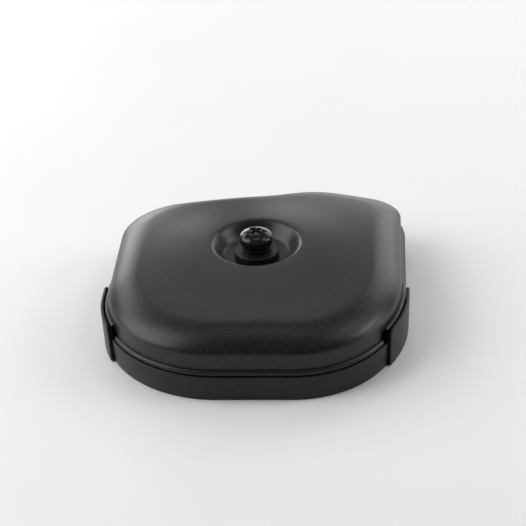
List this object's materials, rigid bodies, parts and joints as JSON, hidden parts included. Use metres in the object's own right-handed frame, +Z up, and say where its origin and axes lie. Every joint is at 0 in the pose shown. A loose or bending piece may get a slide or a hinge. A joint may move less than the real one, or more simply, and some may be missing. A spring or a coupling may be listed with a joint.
{
  "type": "air filter housing",
  "caption": "Low domed air filter housing for a small engine: tray with side air inlets, foam element, choke shutter and a cover held by a captive screw.",
  "frame": {"origin": "on the cover screw's axis, at the plane of the tray's underside", "axes": "+Z up along the cover screw, +X to the right and +Y to the back, towards the choke lever"},
  "size_m": [0.0912, 0.0914, 0.0268],
  "materials": {
    "base_case": "black injection-moulded plastic, satin",
    "air_cover": "black injection-moulded plastic, fine satin grain",
    "cover_screw": "black-finished steel, glossy",
    "lock_washer": "black-finished spring steel",
    "flat_washer": "black-finished steel, glossy",
    "seal_washer": "black rubber",
    "screw_retainer": "natural nylon",
    "thread_insert": "knurled brass",
    "cover_seal": "black rubber",
    "element_seal": "black rubber",
    "element_frame": "dark grey plastic",
    "filter_screen": "woven steel wire",
    "filter_foam": "open-cell foam, charcoal",
    "carb_gasket": "pressed fibre gasket sheet",
    "sleeve_left": "zinc-plated steel",
    "sleeve_right": "zinc-plated steel",
    "choke_shutter": "zinc-plated sheet steel",
    "choke_lever": "black plastic",
    "choke_pivot_screw": "zinc-plated steel",
    "choke_washer": "spring steel"
  },
  "bodies": {
    "tray": {"base_case": "base_case", "thread_insert": "thread_insert", "sleeve_left": "sleeve_left", "sleeve_right": "sleeve_right", "carb_gasket": "carb_gasket", "cover_seal": "cover_seal"},
    "cover": {"air_cover": "air_cover", "seal_washer": "seal_washer"},
    "screw_washers": {"flat_washer": "flat_washer", "lock_washer": "lock_washer"},
    "screw": {"cover_screw": "cover_screw", "screw_retainer": "screw_retainer"},
    "element": {"element_frame": "element_frame", "element_seal": "element_seal", "filter_screen": "filter_screen", "filter_foam": "filter_foam"},
    "choke": {"choke_lever": "choke_lever", "choke_shutter": "choke_shutter", "choke_washer": "choke_washer", "choke_pivot_screw": "choke_pivot_screw"}
  },
  "joints": [
    {"name": "cover_lift", "type": "slide", "parent": "tray", "child": "cover", "axis": [0, 0, 1], "range_m": [0, 0.06]},
    {"name": "screw_rise", "type": "slide", "parent": "cover", "child": "screw_washers", "axis": [0, 0, 1], "range_m": [0, 0.004]},
    {"name": "screw_turn", "type": "hinge", "parent": "screw_washers", "child": "screw", "pos_m": [0, 0, 0.0223], "axis": [0, 0, 1], "range_deg": [0, 1810]},
    {"name": "element_lift", "type": "slide", "parent": "tray", "child": "element", "axis": [0, 0, 1], "range_m": [0, 0.031]},
    {"name": "choke_turn", "type": "hinge", "parent": "tray", "child": "choke", "pos_m": [0.018, 0.0308, 0.007], "axis": [0, 0, -1], "range_deg": [0, 66]}
  ],
  "couplings": [
    {"joint": "screw_turn", "follows": "screw_rise", "rad_per_m": 7854},
    {"joint": "element_lift", "follows": "cover_lift", "ratio": 0.5}
  ]
}
